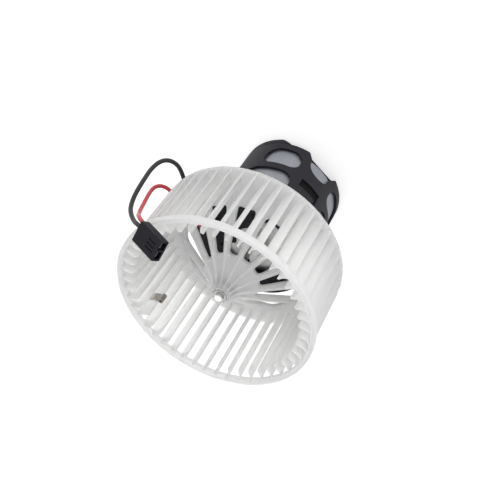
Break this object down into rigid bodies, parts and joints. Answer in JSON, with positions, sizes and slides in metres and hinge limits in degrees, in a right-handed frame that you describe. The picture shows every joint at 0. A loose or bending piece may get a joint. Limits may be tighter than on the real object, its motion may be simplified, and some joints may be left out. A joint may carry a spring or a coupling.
{
  "type": "car cabin blower motor",
  "caption": "Open squirrel-cage fan wheel on a small electric motor held in a windowed plastic cage, with two leads to a flat connector.",
  "frame": {"origin": "on the spin axis, level with the undersides of the cage's feet", "axes": "+Z along the spin axis from the motor's rear to the wheel's open inlet; +X across; +Y towards the open notch side of the cage"},
  "size_m": [0.166, 0.15, 0.1783],
  "materials": {
    "wheel_plastic": "translucent off-white moulding, satin",
    "cage_plastic": "black moulding, fine grain",
    "can_steel": "zinc plated, satin",
    "plate_steel": "zinc plated, satin",
    "shaft_steel": "ground steel",
    "insert_steel": "dull turned steel",
    "spring_steel": "bright spring steel",
    "bush_bronze": "oil-filled sintered bronze",
    "ferrite": "dark grey sintered ferrite",
    "lamination": "dark lamination stack",
    "enamel_wire": "enamelled copper wire",
    "copper": "turned copper",
    "nylon": "natural nylon",
    "board": "dark laminate board",
    "clip_steel": "blackened spring steel",
    "box_brass": "folded brass",
    "carbon": "pressed carbon",
    "capacitor_skin": "dipped coating",
    "rubber": "black rubber",
    "plug_plastic": "black moulding, satin",
    "terminal_metal": "tinned sheet",
    "lead_red": "red insulation, satin",
    "lead_black": "black insulation, satin"
  },
  "bodies": {
    "housing": {"motor_cage": "cage_plastic", "cage_cover": "cage_plastic", "motor_can": "can_steel", "end_plate": "plate_steel", "magnet_clips": "spring_steel", "front_bearing": "bush_bronze", "rear_bearing": "bush_bronze", "front_bearing_retainer": "spring_steel", "rear_bearing_retainer": "spring_steel", "magnet_1": "ferrite", "magnet_2": "ferrite", "brush_plate": "board", "brush_box_1": "box_brass", "brush_box_2": "box_brass", "brush_1": "carbon", "brush_2": "carbon", "brush_spring_1": "spring_steel", "brush_spring_2": "spring_steel", "choke_1": "enamel_wire", "choke_2": "enamel_wire", "capacitor": "capacitor_skin", "front_damper": "rubber", "rear_damper": "rubber", "side_dampers": "rubber", "connector_housing": "plug_plastic", "terminal_red": "terminal_metal", "terminal_black": "terminal_metal", "lead_black": "lead_black", "lead_red": "lead_red"},
    "rotor": {"fan_wheel": "wheel_plastic", "hub_insert": "insert_steel", "balance_clip": "clip_steel", "rotor_shaft": "shaft_steel", "armature_core": "lamination", "armature_winding": "enamel_wire", "commutator": "copper", "shaft_washers": "nylon"}
  },
  "joints": [
    {"name": "wheel_spin", "type": "hinge", "parent": "housing", "child": "rotor", "pos_m": [0, 0, 0.0866], "axis": [0, 0, 1], "continuous": true}
  ]
}
